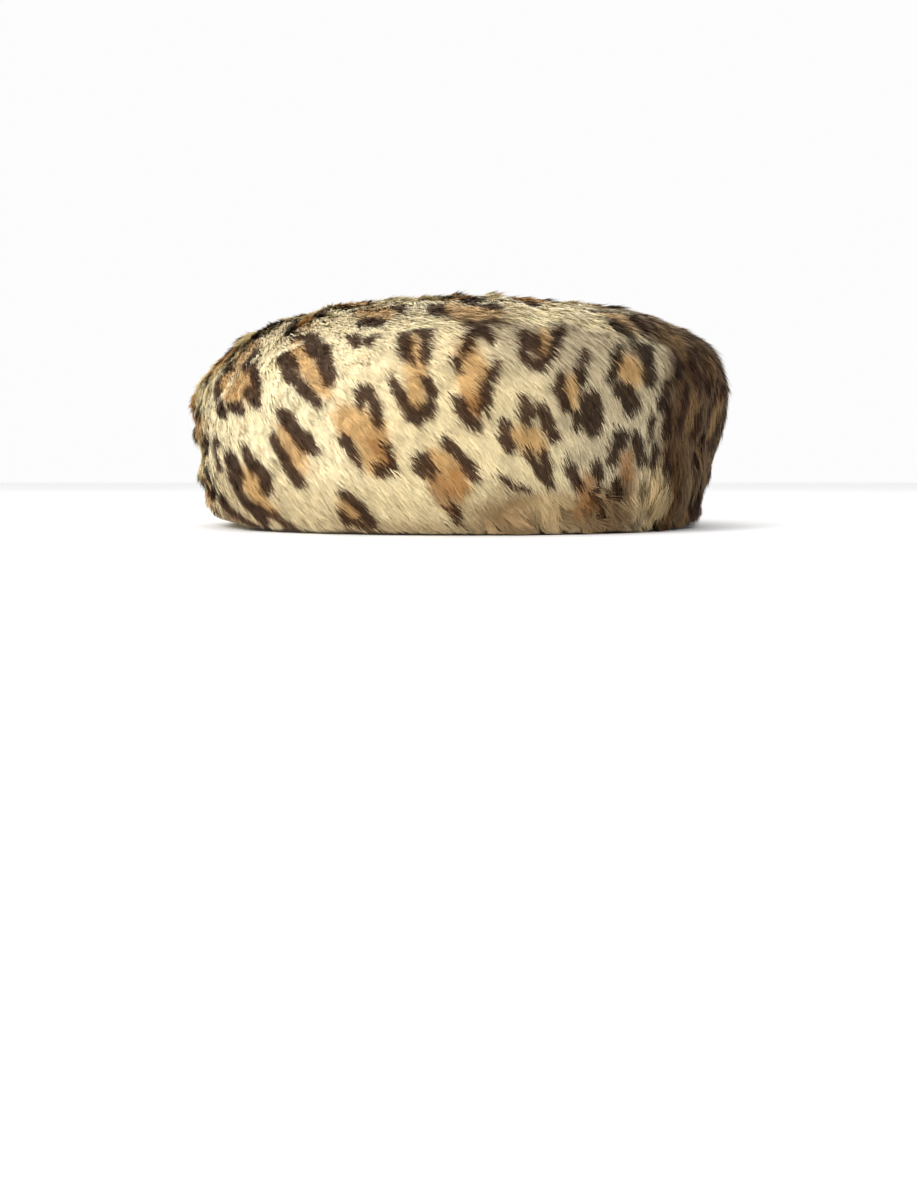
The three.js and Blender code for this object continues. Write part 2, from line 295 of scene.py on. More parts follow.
# Scattered rosettes: how far apart and from the chart, how large, how much longer along the nap and how
# far from round they are. The ring's half width is from RING_THIN to RING_THIN and RING_SWELL together.
ROSETTE_TRIES = 9000
ROSETTE_APART = 22 * MM
ROSETTE_FROM_CHART = 5 * MM
ROSETTE_RADIUS = (6.5 * MM, 9.5 * MM)
ROSETTE_STRETCH = 1.25
ROSETTE_WOBBLE = 0.14
RING_THIN = 0.52 * MM
RING_SWELL = 2.288 * MM
RING_BLEND = 1.4 * MM
RING_STRENGTH = 0.94

# A ring has two or three breaks, with a wave from 0 to 1 between them. It is dark from RING_BREAKS on and
# grows wider over RING_WIDENS.
RING_BREAK_COUNT = (2, 3)
RING_BREAKS = (0.1, 0.3)
RING_WIDENS = (0, 0.625)

# The tan inside a ring, which is weaker on the brown side
ROSETTE_TAN_BLEND = 3 * MM
ROSETTE_TAN_STRENGTH = 0.7
ROSETTE_TAN_IN_BROWN = 0.3

# The brown side, in degrees round from the front: where it begins and where it fades out, how its edge
# wavers, and how strong it is. It is half as strong on the crown, which begins over the heights CROWN_FROM
# and has its own cream.
BROWN_SIDE_FROM = (33, 41)
BROWN_SIDE_TO = (100, 150)
BROWN_SIDE_WAVER = 5
BROWN_SIDE_WAVER_SIZE = 9
BROWN_SIDE_STRENGTH = 0.94
BROWN_ON_CROWN = 0.5
CROWN_FROM = (66 * MM, 80 * MM)

# The way that the fur lies: how far below level it slopes, as seen from outside, where 0 is to the right
NAP = [
    {"around": -180, "slope": 80},
    {"around": -120, "slope": 68},
    {"around": -80, "slope": 46},
    {"around": -40, "slope": 36},
    {"around": 0, "slope": 48},
    {"around": 35, "slope": 78},
    {"around": 70, "slope": 100},
    {"around": 125, "slope": 95},
    {"around": 180, "slope": 80},
]

# The crown's fur lies to the right and towards the front. Near the crown's edge, which has these radii, it
# turns outwards.
CROWN_NAP = (0.75, -0.66, 0.0)
CROWN_EDGE_RADII = (78 * MM, 98 * MM)
CROWN_EDGE_FROM = 0.7
CROWN_EDGE_TURN = 1.7

# Coats of fur, in mm. deep is how far below the solid's surface the blades are rooted. Their lower halves
# lift from the surface by LIFT_DEG and their upper ones by LIE_DEG. The values after these say how far
# single blades differ.
COATS = [
    {"node": "side_front", "layer": "wool", "blades": 64000, "long": 6, "wide": 0.42, "deep": 1.4},
    {"node": "side_front", "layer": "fur", "blades": 66000, "long": 6.6, "wide": 0.26, "deep": 1.25},
    {"node": "side_back", "layer": "fur", "blades": 66000, "long": 6.6, "wide": 0.43, "deep": 1.3},
    {"node": "crown_tip", "layer": "fur", "blades": 66000, "long": 6.6, "wide": 0.4, "deep": 1.3},
    {"node": "crown_tip", "layer": "wool", "blades": 32000, "long": 6, "wide": 0.5, "deep": 1.4},
    {"node": "under_band", "layer": "fur", "blades": 30000, "long": 7, "wide": 0.36, "deep": 1.25},
]
LIFT_DEG = 19
LIE_DEG = 6
LIE_SPREAD_DEG = 2.5
SWAY_DEG = 7
LENGTH_SPREAD = 0.14
ROLL_DEG = 14
WIDTH_RANGE = (0.75, 1.25)
SHADE_SPREAD = 0.05

# No blade is more than LONGEST times as long as its coat, but for those in tufts, and none is shaded past
# SHADE_RANGE. The band's fur is shorter below BAND_FUR_HEIGHT, down to BAND_SHORTEST at the foot.
LONGEST = 1.5
SHADE_RANGE = (0.4, 1.5)
BAND_FUR_HEIGHT = 12 * MM
BAND_SHORTEST = 0.35

# A blade takes the print's colour at this share of the way from its middle to its tip, is painted a little
# darker at the middle and paler at the tip as shade deeper in the pile, and its own slope shows in its
# shading by BLADE_FACING
COLOUR_AT = 0.6
MIDDLE_SHADE = 0.95
TIP_SHADE = 1.03
BLADE_FACING = 0.5

# Painted shade: the fur is painted warmer and darker at its roots, and the hide under it more so, for the
# shade deep in the pile
ROOT_PAINTED_SHADE = (0.9, 0.82, 0.7)
HIDE_PAINTED_SHADE = (0.74, 0.64, 0.52)

# Hairs stray this far over the edges of the print, and a few are paler than it by up to this share
STRAY = 0.65 * MM
PALE_HAIR_SHARE = 0.22
PALE_HAIR_RARITY = 4

# The fur gathers in fine strands and, where it is ruffled, in tufts. They are so many mm apart, pull their
# blades together by this share, with MIDDLE_PULL of it at the blades' middles, and sway and differ in
# shade and in length by so much.
MIDDLE_PULL = 0.4
STRANDS = {"apart": 1.9, "pull": 0.35, "sway_deg": 5, "shade": 0.1, "length": 0.07}
TUFTED_LOCKS = {"apart": 6, "pull": 0.75, "sway_deg": 24, "shade": 0.36, "length": 0.3}

# Where the fur is ruffled into longer tufts on the chart, and how those differ from the smooth fur
TUFTS = [
    {"x": 590, "y": 476, "wide": 100, "tall": 34},
    {"x": 655, "y": 470, "wide": 36, "tall": 44},
]
TUFT_LONGER = 0.45
TUFT_LIFT_DEG = 16

# The hide is this far below the solid's surface
HIDE_DEPTH = 1.5 * MM

# At the seams the hide dips, and the fur stands up by this much to fill the dip
SEAM_FILL = 1.7 * MM
SEAM_FILL_REACH = 7 * MM

# The least height of fur above the floor, and the height under which a place is on the foot
FLOOR_GAP = 0.3 * MM
FOOT_HEIGHT = 0.1 * MM

# The pieces' flat maps. The crown's shows this width and length. The others go round the hat by MAP_ROUND,
# and from MAP_FOOT they go up by MAP_UP for the hat's height and by MAP_OUT for its half width and length.
# The inner side's is smaller, by MAP_INNER. A blade covers BLADE_ON_MAP.
MAP_CROWN = (240 * MM, 270 * MM)
MAP_HALF = (105 * MM, 125 * MM)
MAP_HEIGHT = 85 * MM
MAP_ROUND = 0.96
MAP_FOOT = 0.02
MAP_UP = 0.5
MAP_OUT = 0.4
MAP_INNER = 0.9
BLADE_ON_MAP = (0.001, 0.004)

# The slot and the finish of each solid's fur
SLOTS = {
    "crown_tip": "crown_fur",
    "side_front": "front_fur",
    "side_back": "back_fur",
    "under_band": "under_fur",
}
FINISHES = {
    "crown_tip": {"roughness": 0.56, "tint": (0.98, 1.0, 1.03)},
    "side_front": {"roughness": 0.58, "tint": (1.0, 1.0, 1.0)},
    "side_back": {"roughness": 0.58, "tint": (1.0, 0.99, 0.97)},
    "under_band": {"roughness": 0.52, "tint": (1.0, 0.98, 0.95)},
}

# Fine streaks and broad mottling over the fur: how light it is without them, and how much they add
STREAKS = {"Scale": 900.0, "Detail": 2.0}
MOTTLING = {"Scale": 38.0, "Detail": 3.0}
FUR_SHADE = {"least": 0.72, "streaks": 0.3, "mottling": 0.26}
FUR_BUMP = {"Strength": 0.12, "Distance": 0.4 * MM}
STREAKS_ROUGHEN = 0.16
FUR_GLOSS = {"Sheen Weight": 0.02, "Sheen Roughness": 0.45, "Specular IOR Level": 0.06}

# The nap and the creases of the suede
SUEDE_NAP = {"Scale": 420.0, "Detail": 4.0}
CREASES = {"Scale": 95.0}
SUEDE_SHADE = {"least": 0.7, "nap": 0.4, "creases": 0.25}
SUEDE_BUMP = {"Strength": 0.3, "Distance": 0.6 * MM}
SUEDE_ROUGHNESS = 0.82
NAP_ROUGHENS = 0.12
SUEDE_SHEEN = 0.2

# The floor's paper
CLOUDS = {"Scale": 3.0, "Detail": 2.0}
PAPER_SHADE = {"least": 0.94, "clouds": 0.03}
PAPER_ROUGHNESS = 0.7


def linear(colour):
    """A colour as it looks, to 255, as linear light from 0 to 1."""
    c = np.asarray(colour, dtype=float) / 255
    return np.where(c <= 0.04045, c / 12.92, ((c + 0.055) / 1.055) ** 2.4)


def plain(colour, count):
    """One colour, for a number of places."""
    return np.tile(linear(colour), (count, 1))


def unit(v):
    """Each vector at a length of 1, or at 0 if it has none."""
    return v / np.maximum(np.linalg.norm(v, axis=-1, keepdims=True), LEAST_LENGTH)


def dot(a, b):
    """The product of each vector of a with the same one of b."""
    return np.einsum("ij,ij->i", a, b)


def smooth(x):
    """From 0 to 1 as x is, with soft ends."""
    x = np.clip(x, 0, 1)
    return x * x * (3 - 2 * x)


def rise(x, low, high):
    """From 0 at the low end to 1 at the high end, with soft ends."""
    return smooth((x - low) / (high - low))


def mix(a, b, share):
    """Colours part of the way from a to b."""
    return a + (b - a) * np.asarray(share)[:, None]


def turned(v, axis, degrees):
    """Each vector turned about its axis, which is at right angles to it."""
    angle = np.radians(degrees)[:, None]
    return v * np.cos(angle) + np.cross(axis, v) * np.sin(angle)


class Surface:
    """The outer face of a solid: its triangles, with smooth outward normals at their corners."""

    # A face is outside where the cosine of its normal to that of an egg shape round the hat is over OUTSIDE
    OUTSIDE = 0.35
    EGG_MIDDLE = np.array([0, 0, 22 * MM])
    EGG_RADII = np.array([104 * MM, 124 * MM, 60 * MM])

    def __init__(self, node):
        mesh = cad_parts[node].data
        mesh.calc_loop_triangles()
        places = np.empty(len(mesh.vertices) * 3, dtype=np.float32)
        mesh.vertices.foreach_get("co", places)
        corners = np.empty(len(mesh.loop_triangles) * 3, dtype=np.int32)
        mesh.loop_triangles.foreach_get("vertices", corners)
        rounded = np.round(places.reshape(-1, 3).astype(float), 6)
        self.places, shared = np.unique(rounded, axis=0, return_inverse=True)
        self.faces = shared.reshape(-1)[corners].reshape(-1, 3)
        a, b, c = (self.places[self.faces[:, i]] for i in range(3))
        across = np.cross(b - a, c - a)
        middle = (a + b + c) / 3
        out = unit((middle - self.EGG_MIDDLE) / self.EGG_RADII**2)
        on_foot = np.maximum(np.maximum(a[:, 2], b[:, 2]), c[:, 2]) < FOOT_HEIGHT
        self.outside = (dot(unit(across), out) > self.OUTSIDE) & ~on_foot
        self.inside = dot(unit(across), out) < -self.OUTSIDE
        self.area = np.linalg.norm(across, axis=1) / 2
        self.normals = np.zeros_like(self.places)
        for i in range(3):
            np.add.at(self.normals, self.faces[self.outside, i], across[self.outside])
        self.outer_corners = np.linalg.norm(self.normals, axis=1) > 0
        self.normals = unit(self.normals)
        other = np.unique(self.faces[~self.outside])
        rim = self.outer_corners & np.isin(np.arange(len(self.places)), other)
        self.seam_edge = tree_of(self.places[rim & (self.places[:, 2] > FOOT_HEIGHT)])

    def seam_fill(self, places):
        """How far the fur stands up at a seam, to hide the dip there."""
        away = np.array([self.seam_edge.find(place)[2] for place in places.tolist()])
        return SEAM_FILL * np.exp(-((away / SEAM_FILL_REACH) ** 2))

    def outer_area(self):
        """The area of the outer face, in square metres."""
        return self.area[self.outside].sum()

    def scatter(self, count, rng):
        """Places spread evenly over the outer face, with their normals."""
        faces = self.faces[self.outside]
        share = self.area[self.outside]
        edges = np.cumsum(share) / share.sum()
        pick = np.searchsorted(edges, (np.arange(count) + rng.random(count)) / count)
        faces = faces[np.minimum(pick, len(faces) - 1)]
        u, v = np.sqrt(rng.random(count)), rng.random(count)
        weights = np.stack([1 - u, u * (1 - v), u * v], axis=1)
        places = np.einsum("nk,nkd->nd", weights, self.places[faces])
        normals = unit(np.einsum("nk,nkd->nd", weights, self.normals[faces]))
        return places, normals


def nap_direction(node, places, normals):
    """The way that the fur lies on the surface."""
    around = np.arctan2(places[:, 0], -places[:, 1])
    if node == "crown_tip":
        radial = places[:, :2] / np.array(CROWN_EDGE_RADII)
        at_edge = rise(np.linalg.norm(radial, axis=1), CROWN_EDGE_FROM, 1)
        radial = np.concatenate([radial, np.zeros((len(places), 1))], axis=1)
        towards = np.array(CROWN_NAP) + unit(radial) * CROWN_EDGE_TURN * at_edge[:, None]
        return unit(towards - normals * dot(towards, normals)[:, None])
    level = np.stack([np.cos(around), np.sin(around), np.zeros(len(places))], axis=1)
    level = unit(level - normals * dot(level, normals)[:, None])
    down = -np.cross(normals, level)
    slope = np.interp(np.degrees(around), [r["around"] for r in NAP], [r["slope"] for r in NAP])
    slope = np.radians(slope)[:, None]
    return level * np.cos(slope) + down * np.sin(slope)


def chart_places(places):
    """Where places on the hat are on the chart, and the direction from each to the chart's eye."""
    tilt = math.radians(CHART_TILT_DEG)
    ahead = np.array([0, math.cos(tilt), -math.sin(tilt)])
    up = np.array([0, math.sin(tilt), math.cos(tilt)])
    middle = np.array([0, 0, CHART_MIDDLE_HEIGHT])
    from_middle = places - middle
    away = from_middle @ ahead + CAMERA_DISTANCE
    squares = CAMERA_DISTANCE / away / CHART_SQUARE
    x = CHART_MIDDLE[0] + from_middle[:, 0] * squares
    y = CHART_MIDDLE[1] - (from_middle @ up) * squares
    eye = middle - ahead * CAMERA_DISTANCE
    return x, y, unit(eye - places)


def uneven(x, y, size):
    """A soft, repeatable unevenness from -1 to 1 over a plane."""
    a = np.sin(x / size + 1.7 * np.sin(y / size * 0.8 + 0.4))
    b = np.sin(y / size * 1.3 + 1.9 * np.sin(x / size * 0.7 + 2.1))
    return (a + b) / 2


def marked(x, y, marks, growth, blend):
    """How much of a place the nearest mark covers, from 0 to 1, and how deep inside it the place is."""
    inside = np.full(len(x), -np.inf)
    for mark in marks:
        for (x0, y0), (x1, y1) in zip(mark["along"], mark["along"][1:]):
            dx, dy = x1 - x0, y1 - y0
            share = np.clip(((x - x0) * dx + (y - y0) * dy) / (dx * dx + dy * dy), 0, 1)
            distance = np.hypot(x - x0 - share * dx, y - y0 - share * dy)
            inside = np.maximum(inside, mark["wide"] / 2 - distance)
    inside = inside + growth + MARK_UNEVEN * uneven(x, y, MARK_WAVES)
    return smooth(0.5 + inside / (2 * blend)), inside


def charted_colour(x, y):
    """The print's colour on the chart, with painted shade where the fur turns under: the ground and its
    patches, the tan middles, then the dark marks.
    """
    brown = rise(x + BROWN_WAVER * uneven(x, y, BROWN_WAVER_SIZE), BROWN_FROM, BROWN_TO)
    ground = mix(plain(CREAM, len(x)), linear(BROWN), brown)
    # Some patches are painted shade where the fur turns under
    for patch in GROUND_AND_SHADE_PATCHES:
        away = np.hypot((x - patch["x"]) / patch["wide"], (y - patch["y"]) / patch["tall"])
        ground = mix(ground, linear(patch["colour"]), patch["strength"] * smooth(PATCH_REACH - away))
    tan, _ = marked(x, y, TAN_MARKS, TAN_GROWTH, TAN_BLEND)
    ground = mix(ground, linear(TAN), TAN_STRENGTH * tan)
    rust, _ = marked(x, y, RUST_MARKS, TAN_GROWTH, TAN_BLEND)
    ground = mix(ground, linear(RUST), RUST_STRENGTH * rust)
    dark, depth = marked(x, y, DARK_MARKS, DARK_GROWTH, MARK_BLEND)
    core = mix(plain(DARK_EDGE, len(x)), linear(DARK), rise(depth, 0, DARK_EDGE_WIDTH))
    core = mix(core, linear(BLACK_BROWN), BLACK_STRENGTH * rise(x, BLACK_FROM, BLACK_TO))
    return mix(ground, core, DARK_STRENGTH * dark)


def tufted(places, normals):
    """How ruffled the fur is, from 0 to 1."""
    x, y, to_eye = chart_places(places)
    share = np.zeros(len(x))
    for tuft in TUFTS:
        away = np.hypot((x - tuft["x"]) / tuft["wide"], (y - tuft["y"]) / tuft["tall"])
        share = np.maximum(share, smooth(PATCH_REACH - away))
    return share * (dot(normals, to_eye) > 0)


def tree_of(places):
    """A tree that finds the nearest of some places."""
    tree = kdtree.KDTree(len(places))
    for i, place in enumerate(places.tolist()):
        tree.insert(place, i)
    tree.balance()
    return tree


class Rosettes:
    """Rosettes scattered over the parts of the hat that the chart doesn't reach."""

    def __init__(self, surfaces, rng):
        places, normals, naps = [], [], []
        for node, surface in surfaces.items():
            p, n = surface.scatter(ROSETTE_TRIES, rng)
            places.append(p)
            normals.append(n)
            naps.append(nap_direction(node, p, n))
        places, normals, naps = (np.concatenate(v) for v in (places, normals, naps))
        seen, _, _ = charted(places, normals)
        spots_end = tree_of(places[seen > 0.5])
        kept = []
        for i in rng.permutation(np.nonzero(seen == 0)[0]):
            if kept and np.linalg.norm(places[kept] - places[i], axis=1).min() < ROSETTE_APART:
                continue
            if spots_end.find(places[i])[2] > ROSETTE_FROM_CHART:
                kept.append(i)
        self.middles = places[kept]
        self.along = naps[kept]
        self.across = np.cross(normals[kept], naps[kept])
        count = len(kept)
        self.radius = rng.uniform(*ROSETTE_RADIUS, count)
        self.turn = rng.uniform(0, 2 * math.pi, (count, 2))
        self.breaks = rng.integers(RING_BREAK_COUNT[0], RING_BREAK_COUNT[1] + 1, count)

    def colour(self, places):
        """The print's colour off the chart. A ring swells, thins and breaks off on its way round."""
        products = places.astype(np.float32) @ self.middles.T.astype(np.float32)
        nearest = np.argmin((self.middles**2).sum(1)[None, :] - 2 * products, axis=1)
        away = places - self.middles[nearest]
        along = dot(away, self.along[nearest]) / ROSETTE_STRETCH
        across = dot(away, self.across[nearest])
        radius = np.hypot(along, across)
        angle = np.arctan2(across, along)
        turn = self.turn[nearest]
        ring = self.radius[nearest] * (1 + ROSETTE_WOBBLE * np.sin(2 * angle + turn[:, 1]))
        wave = 0.5 + 0.5 * np.sin(self.breaks[nearest] * angle + turn[:, 0])
        inside = RING_THIN + RING_SWELL * rise(wave, *RING_WIDENS) - np.abs(radius - ring)
        dark = smooth(0.5 + inside / RING_BLEND) * rise(wave, *RING_BREAKS)
        tan = smooth(0.5 + (ring - radius) / ROSETTE_TAN_BLEND)
        ground = mix(plain(CREAM, len(places)), linear(CROWN_CREAM), top_share(places))
        brown = brown_share(places)
        ground = mix(ground, linear(BROWN), BROWN_SIDE_STRENGTH * brown)
        tan = tan * ROSETTE_TAN_STRENGTH * (1 - (1 - ROSETTE_TAN_IN_BROWN) * brown)
        ground = mix(ground, linear(TAN), tan)
        return mix(ground, linear(DARK), RING_STRENGTH * dark)


def brown_share(places):
    """How brown the ground is, from 0 to 1: most at the right of the hat."""
    around = np.degrees(np.arctan2(places[:, 0], -places[:, 1]))
    around = around + BROWN_SIDE_WAVER * uneven(places[:, 2] / MM, around, BROWN_SIDE_WAVER_SIZE)
    side = rise(around, *BROWN_SIDE_FROM) * (1 - rise(around, *BROWN_SIDE_TO))
    return side * (1 - (1 - BROWN_ON_CROWN) * top_share(places))


def top_share(places):
    """From 0 on the side to 1 on the crown."""
    return rise(places[:, 2], *CROWN_FROM)


def charted(places, normals):
    """How far the chart is used at a place, from 0 to 1, and where the place is on it."""
    x, y, to_eye = chart_places(places)
    around = np.degrees(np.arctan2(places[:, 0], -places[:, 1]))
    within = np.minimum(CHART_RIGHT_DEG - around, around - CHART_LEFT_DEG) / CHART_AROUND_BLEND_DEG
    faces = (dot(normals, to_eye) - CHART_FACING) / CHART_FACING_BLEND
    return smooth(0.5 + faces) * smooth(0.5 + within), x, y


def fur_colour(places, normals, rosettes):
    """The print's colour at places on the hat, with the chart's painted shade where the fur turns under."""
    seen, x, y = charted(places, normals)
    colour = rosettes.colour(places)
    near = seen > 0
    colour[near] = mix(colour[near], charted_colour(x[near], y[near]), seen[near])
    return colour


class Locks:
    """Locks of fur of one kind: where their middles are, and how each differs from the rest."""

    def __init__(self, kind, surfaces, rng):
        self.middles = np.concatenate(
            [s.scatter(int(s.outer_area() / (kind["apart"] * MM) ** 2), rng)[0] for s in surfaces.values()]
        )
        count = len(self.middles)
        self.tree = tree_of(self.middles)
        self.pull = kind["pull"]
        self.sway = rng.normal(0, kind["sway_deg"], count)
        self.shade = rng.normal(0, kind["shade"], count)
        self.length = rng.normal(0, kind["length"], count)

    def gather(self, places, across):
        """For each place: the pull of its lock sideways, and its lock's sway, shade and length."""
        lock = np.array([self.tree.find(place)[1] for place in places.tolist()])
        pull = dot(self.middles[lock] - places, across) * self.pull
        return pull, self.sway[lock], self.shade[lock], self.length[lock]


def new_object(name, mesh, node):
    """A piece that stands for a solid, together with the solid's other pieces."""
    obj = bpy.data.objects.new(name, mesh)
    bpy.context.scene.collection.objects.link(obj)
    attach(obj, "root")
    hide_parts(node)
    return obj


def mesh_from(name, places, corner_lists):
    """A mesh from an array of places and arrays of faces, each array with faces of one size."""
    mesh = bpy.data.meshes.new(name)
    mesh.vertices.add(len(places))
    mesh.vertices.foreach_set("co", places.astype(np.float32).ravel())
    loops = np.concatenate([c.ravel() for c in corner_lists])
    sizes = np.concatenate([np.full(len(c), c.shape[1]) for c in corner_lists])
    mesh.loops.add(len(loops))
    mesh.loops.foreach_set("vertex_index", loops.astype(np.int32))
    mesh.polygons.add(len(sizes))
    mesh.polygons.foreach_set("loop_start", (np.cumsum(sizes) - sizes).astype(np.int32))
    mesh.polygons.foreach_set("loop_total", sizes.astype(np.int32))
    mesh.polygons.foreach_set("use_smooth", np.ones(len(sizes), dtype=bool))
    mesh.update(calc_edges=True)
    return mesh


def paint(mesh, colours, kept_at):
    """Keeps a colour at each vertex, or at each corner of a face, for the material to read."""
    layer = mesh.color_attributes.new("pile", "FLOAT_COLOR", kept_at)
    rgba = np.concatenate([np.clip(colours, 0, 1), np.ones((len(colours), 1))], axis=1)
    layer.data.foreach_set("color", rgba.astype(np.float32).ravel())


def unwrap(mesh, u, v):
    """Keeps a place on a flat map for each vertex."""
    layer = mesh.uv_layers.new(name="OFBake")
    loops = np.empty(len(mesh.loops), dtype=np.int32)
    mesh.loops.foreach_get("vertex_index", loops)
    layer.data.foreach_set("uv", np.stack([u[loops], v[loops]], axis=1).astype(np.float32).ravel())


def map_place(node, places):
    """Where a place is on a piece's flat map: round the hat and up, or from above for the crown's tip."""
    if node == "crown_tip":
        return 0.5 + places[:, 0] / MAP_CROWN[0], 0.5 + places[:, 1] / MAP_CROWN[1]
    around = np.arctan2(places[:, 0], -places[:, 1]) / (2 * math.pi)
    if node == "side_back":
        around = around % 1 - 0.5
    out = np.hypot(places[:, 0] / MAP_HALF[0], places[:, 1] / MAP_HALF[1])
    return 0.5 + MAP_ROUND * around, MAP_FOOT + MAP_UP * places[:, 2] / MAP_HEIGHT + MAP_OUT * out


def grow_coat(coat, surface, strands, tufts, rosettes, rng):
    """One coat: blades with a root, a middle and a tip, rooted under the surface and laid along the nap."""
    node, count = coat["node"], coat["blades"]
    name = node + "_" + coat["layer"]
    places, normals = surface.scatter(count, rng)
    nap = nap_direction(node, places, normals)
    ruffled = tufted(places, normals)
    fine = strands.gather(places, np.cross(normals, nap))
    coarse = tufts.gather(places, np.cross(normals, nap))
    pull, sway, shade, longer = (a + b * ruffled for a, b in zip(fine, coarse))
    nap = turned(nap, normals, sway + rng.normal(0, SWAY_DEG, count))
    across = np.cross(normals, nap)

    length = coat["long"] * MM * (1 + longer) * np.exp(rng.normal(0, LENGTH_SPREAD, count))
    length = np.minimum(length, coat["long"] * LONGEST * MM)
    length *= 1 + TUFT_LONGER * ruffled
    if node == "under_band":
        length *= np.clip(places[:, 2] / BAND_FUR_HEIGHT, BAND_SHORTEST, 1)
    half = (length / 2)[:, None]
    raised = TUFT_LIFT_DEG * ruffled
    lift = np.radians(LIFT_DEG + rng.normal(0, LIE_SPREAD_DEG, count) + raised)[:, None]
    lie = np.radians(LIE_DEG + rng.normal(0, LIE_SPREAD_DEG, count))[:, None]

    pull = across * pull[:, None]
    root = places + normals * (surface.seam_fill(places) - coat["deep"] * MM)[:, None]
    middle = root + half * (nap * np.cos(lift) + normals * np.sin(lift)) + pull * MIDDLE_PULL
    tip = middle + half * (nap * np.cos(lie) + normals * np.sin(lie)) + pull * (1 - MIDDLE_PULL)
    for part in (root, middle, tip):
        part[:, 2] = np.maximum(part[:, 2], FLOOR_GAP + rng.random(count) * FLOOR_GAP)

    flat = turned(across, nap, rng.normal(0, ROLL_DEG, count))
    side = flat * coat["wide"] * MM * rng.uniform(*WIDTH_RANGE, count)[:, None] / 2
    corners = np.stack([root - side, root + side, middle - side, middle + side, tip], axis=1)
    first = np.arange(count)[:, None] * 5
    quads = first + np.array([[1, 0, 2, 3]])
    tips = first + np.array([[3, 2, 4]])
    mesh = mesh_from(name, corners.reshape(-1, 3), [quads, tips])

    shade = np.clip(1 + shade + rng.normal(0, SHADE_SPREAD, count), *SHADE_RANGE)
    stray = rng.normal(0, STRAY, count)[:, None] * nap + rng.normal(0, STRAY / 2, count)[:, None] * across
    seen_part = middle + (tip - middle) * COLOUR_AT + stray
    colour = fur_colour(seen_part, normals, rosettes) * shade[:, None]
    colour = mix(colour, linear(PALE_HAIR), PALE_HAIR_SHARE * rng.random(count) ** PALE_HAIR_RARITY)
    # Painted shade: roots darker and warmer, middles a little darker, deep in the pile
    at_root, at_middle = colour * ROOT_PAINTED_SHADE, colour * MIDDLE_SHADE
    colours = np.stack([at_root, at_root, at_middle, at_middle, colour * TIP_SHADE], axis=1)
    paint(mesh, colours.reshape(-1, 3), "POINT")

    facing = np.repeat(unit(normals + np.cross(nap, flat) * BLADE_FACING), 5, axis=0)
    mesh.normals_split_custom_set_from_vertices(facing.astype(np.float32))

    u, v = map_place(node, places)
    spread_u = BLADE_ON_MAP[0] * np.array([-1, 1, -1, 1, 0])
    spread_v = BLADE_ON_MAP[1] * np.array([0, 0, 0.5, 0.5, 1])
    unwrap(mesh, (u[:, None] + spread_u).ravel(), (v[:, None] + spread_v).ravel())
    return new_object(name, mesh, node)


def make_hide(node, surface, rosettes):
    """The hide that a piece's fur grows from: the solid's wall with its outer face let in under the fur."""
    places = surface.places.copy()
    outer = surface.outer_corners
    on_foot = places[:, 2] < FOOT_HEIGHT
    inwards = surface.normals * HIDE_DEPTH
    inwards[on_foot, 2] = 0
    places[outer] -= inwards[outer]
    mesh = mesh_from(node + "_hide", places, [surface.faces])
    colours = plain(SEAM_SHADE, len(places))
    # Painted shade: the hide's outer face is the print's colour darkened under the fur
    colours[outer] = fur_colour(surface.places[outer], surface.normals[outer], rosettes) * HIDE_PAINTED_SHADE
    colours = np.where(surface.inside[:, None, None], linear(SUEDE), colours[surface.faces])
    paint(mesh, colours.reshape(-1, 3), "CORNER")
    u, v = map_place(node, places)
    unwrap(mesh, u, np.where(outer, v, v * MAP_INNER))
    return new_object(node + "_hide", mesh, node)


def put(tree, place, value):
    """Sets a socket to a plain value, or links it to a shade."""
    if isinstance(value, Shade):
        tree.links.new(value.socket, place)
    else:
        place.default_value = value


class Shade:
    """A value in a material, as arithmetic on its sockets."""

    def __init__(self, tree, socket):
        self.tree, self.socket = tree, socket

    def math(self, operation, *values):
        node = self.tree.nodes.new("ShaderNodeMath")
        node.operation = operation
        for place, value in zip(node.inputs, values):
            put(self.tree, place, value)
        return Shade(self.tree, node.outputs[0])

    def __add__(self, other):
        return self.math("ADD", self, other)

    def __radd__(self, other):
        return self.math("ADD", other, self)

    def __mul__(self, other):
        return self.math("MULTIPLY", self, other)

    def __rmul__(self, other):
        return self.math("MULTIPLY", other, self)


class Nodes:
    """The nodes of a material or a backdrop: added by type, settings and sockets."""

    def __init__(self, owner, shader):
        owner.use_nodes = True
        self.owner, self.tree = owner, owner.node_tree
        self.shader = self.tree.nodes[shader]

    def node(self, kind, settings, sockets, output=0):
        node = self.tree.nodes.new(kind)
        for name, value in settings.items():
            setattr(node, name, value)
        for name, value in sockets.items():
            put(self.tree, node.inputs[name], value)
        return Shade(self.tree, node.outputs[output])

    def finish(self, sockets):
        for name, value in sockets.items():
            put(self.tree, self.shader.inputs[name], value)
        return self.owner


def new_material(name):
    """A new material, ready for its patterns."""
    return Nodes(bpy.data.materials.new(name), "Principled BSDF")


